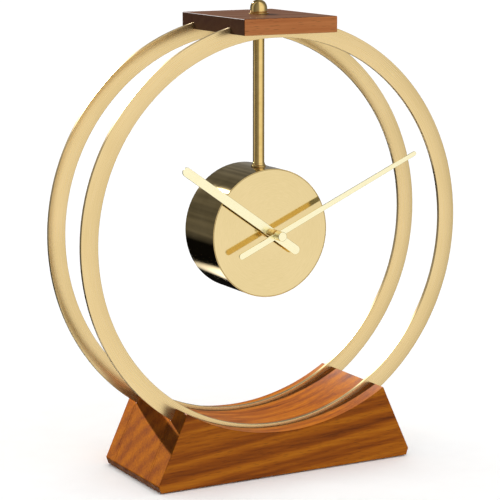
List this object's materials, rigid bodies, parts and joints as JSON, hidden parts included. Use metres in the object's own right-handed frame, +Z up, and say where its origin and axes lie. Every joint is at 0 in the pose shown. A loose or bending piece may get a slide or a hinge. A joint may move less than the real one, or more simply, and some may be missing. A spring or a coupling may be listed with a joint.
{
  "type": "table clock",
  "caption": "Table clock: a battery movement in a metal drum hangs on a rod from a wooden bridge between flat metal rings that stand in a wooden base.",
  "frame": {"origin": "middle of the resting face under the base", "axes": "+Z up, the dial faces -Y, +X to the right of someone reading the dial"},
  "size_m": [0.275, 0.0844, 0.3058],
  "materials": {
    "walnut": "oiled satin",
    "felt": "felt",
    "satin_brass": "satin brushed",
    "polished_brass": "polished",
    "drum_brass": "polished",
    "hand_gold": "satin pale gold",
    "steel": "plain",
    "black_plastic": "fine texture",
    "white_plastic": "moulded",
    "rubber": "matt",
    "cell_wrap": "printed film without words",
    "copper": "enamelled wire",
    "board": "solder mask"
  },
  "bodies": {
    "stand": {"base_block": "walnut", "base_felt": "felt", "base_pins": "steel", "front_ring": "satin_brass", "rear_ring": "satin_brass", "top_block": "walnut", "block_pins": "steel", "hanger_rod": "polished_brass", "rod_flange": "polished_brass", "top_washer": "polished_brass", "dome_nut": "polished_brass", "rod_collar": "polished_brass", "drum_washer": "steel", "drum_nut": "steel", "drum_shell": "drum_brass", "dial_plate": "satin_brass", "dial_washer": "steel", "dial_nut": "polished_brass", "cushion_washer": "rubber", "centre_bush": "polished_brass", "movement_case": "black_plastic", "middle_plate": "white_plastic", "movement_cover": "black_plastic", "battery_contacts": "steel", "stator": "steel", "coil_core": "steel", "coil": "copper", "circuit_board": "board", "quartz_crystal": "steel"},
    "minute_set": {"minute_arbor": "polished_brass", "minute_hand": "hand_gold", "hand_cap": "hand_gold"},
    "hour_set": {"hour_wheel": "white_plastic", "hour_hand": "hand_gold", "hand_hub": "polished_brass"},
    "setting_set": {"minute_wheel": "white_plastic", "set_knob": "black_plastic"},
    "seconds_set": {"seconds_wheel": "white_plastic"},
    "third_set": {"third_wheel": "white_plastic"},
    "centre_set": {"centre_wheel": "white_plastic"},
    "second_set": {"second_wheel": "white_plastic"},
    "rotor_set": {"rotor": "steel"},
    "cell": {"battery": "cell_wrap"}
  },
  "joints": [
    {"name": "minute_turn", "type": "hinge", "parent": "stand", "child": "minute_set", "pos_m": [0, 0, 0.156], "axis": [0, 1, 0], "continuous": true},
    {"name": "hour_turn", "type": "hinge", "parent": "stand", "child": "hour_set", "pos_m": [0, 0, 0.156], "axis": [0, 1, 0], "continuous": true},
    {"name": "setting_turn", "type": "hinge", "parent": "stand", "child": "setting_set", "pos_m": [0.0076, 0, 0.156], "axis": [0, 1, 0], "continuous": true},
    {"name": "seconds_turn", "type": "hinge", "parent": "stand", "child": "seconds_set", "pos_m": [0, 0, 0.156], "axis": [0, 1, 0], "continuous": true},
    {"name": "third_turn", "type": "hinge", "parent": "stand", "child": "third_set", "pos_m": [-0.00601, 0, 0.15381], "axis": [0, 1, 0], "continuous": true},
    {"name": "centre_turn", "type": "hinge", "parent": "stand", "child": "centre_set", "pos_m": [0, 0, 0.156], "axis": [0, 1, 0], "continuous": true},
    {"name": "second_turn", "type": "hinge", "parent": "stand", "child": "second_set", "pos_m": [0, 0, 0.16272], "axis": [0, 1, 0], "continuous": true},
    {"name": "rotor_turn", "type": "hinge", "parent": "stand", "child": "rotor_set", "pos_m": [0, 0, 0.16704], "axis": [0, 1, 0], "continuous": true},
    {"name": "cell_slide", "type": "slide", "parent": "stand", "child": "cell", "axis": [0, 1, 0], "range_m": [0, 0.06]}
  ],
  "couplings": [
    {"joint": "hour_turn", "follows": "minute_turn", "ratio": 0.083333},
    {"joint": "setting_turn", "follows": "minute_turn", "ratio": -0.33333},
    {"joint": "third_turn", "follows": "seconds_turn", "ratio": -0.13333},
    {"joint": "centre_turn", "follows": "seconds_turn", "ratio": 0.016667},
    {"joint": "second_turn", "follows": "seconds_turn", "ratio": -6},
    {"joint": "rotor_turn", "follows": "seconds_turn", "ratio": 30}
  ]
}
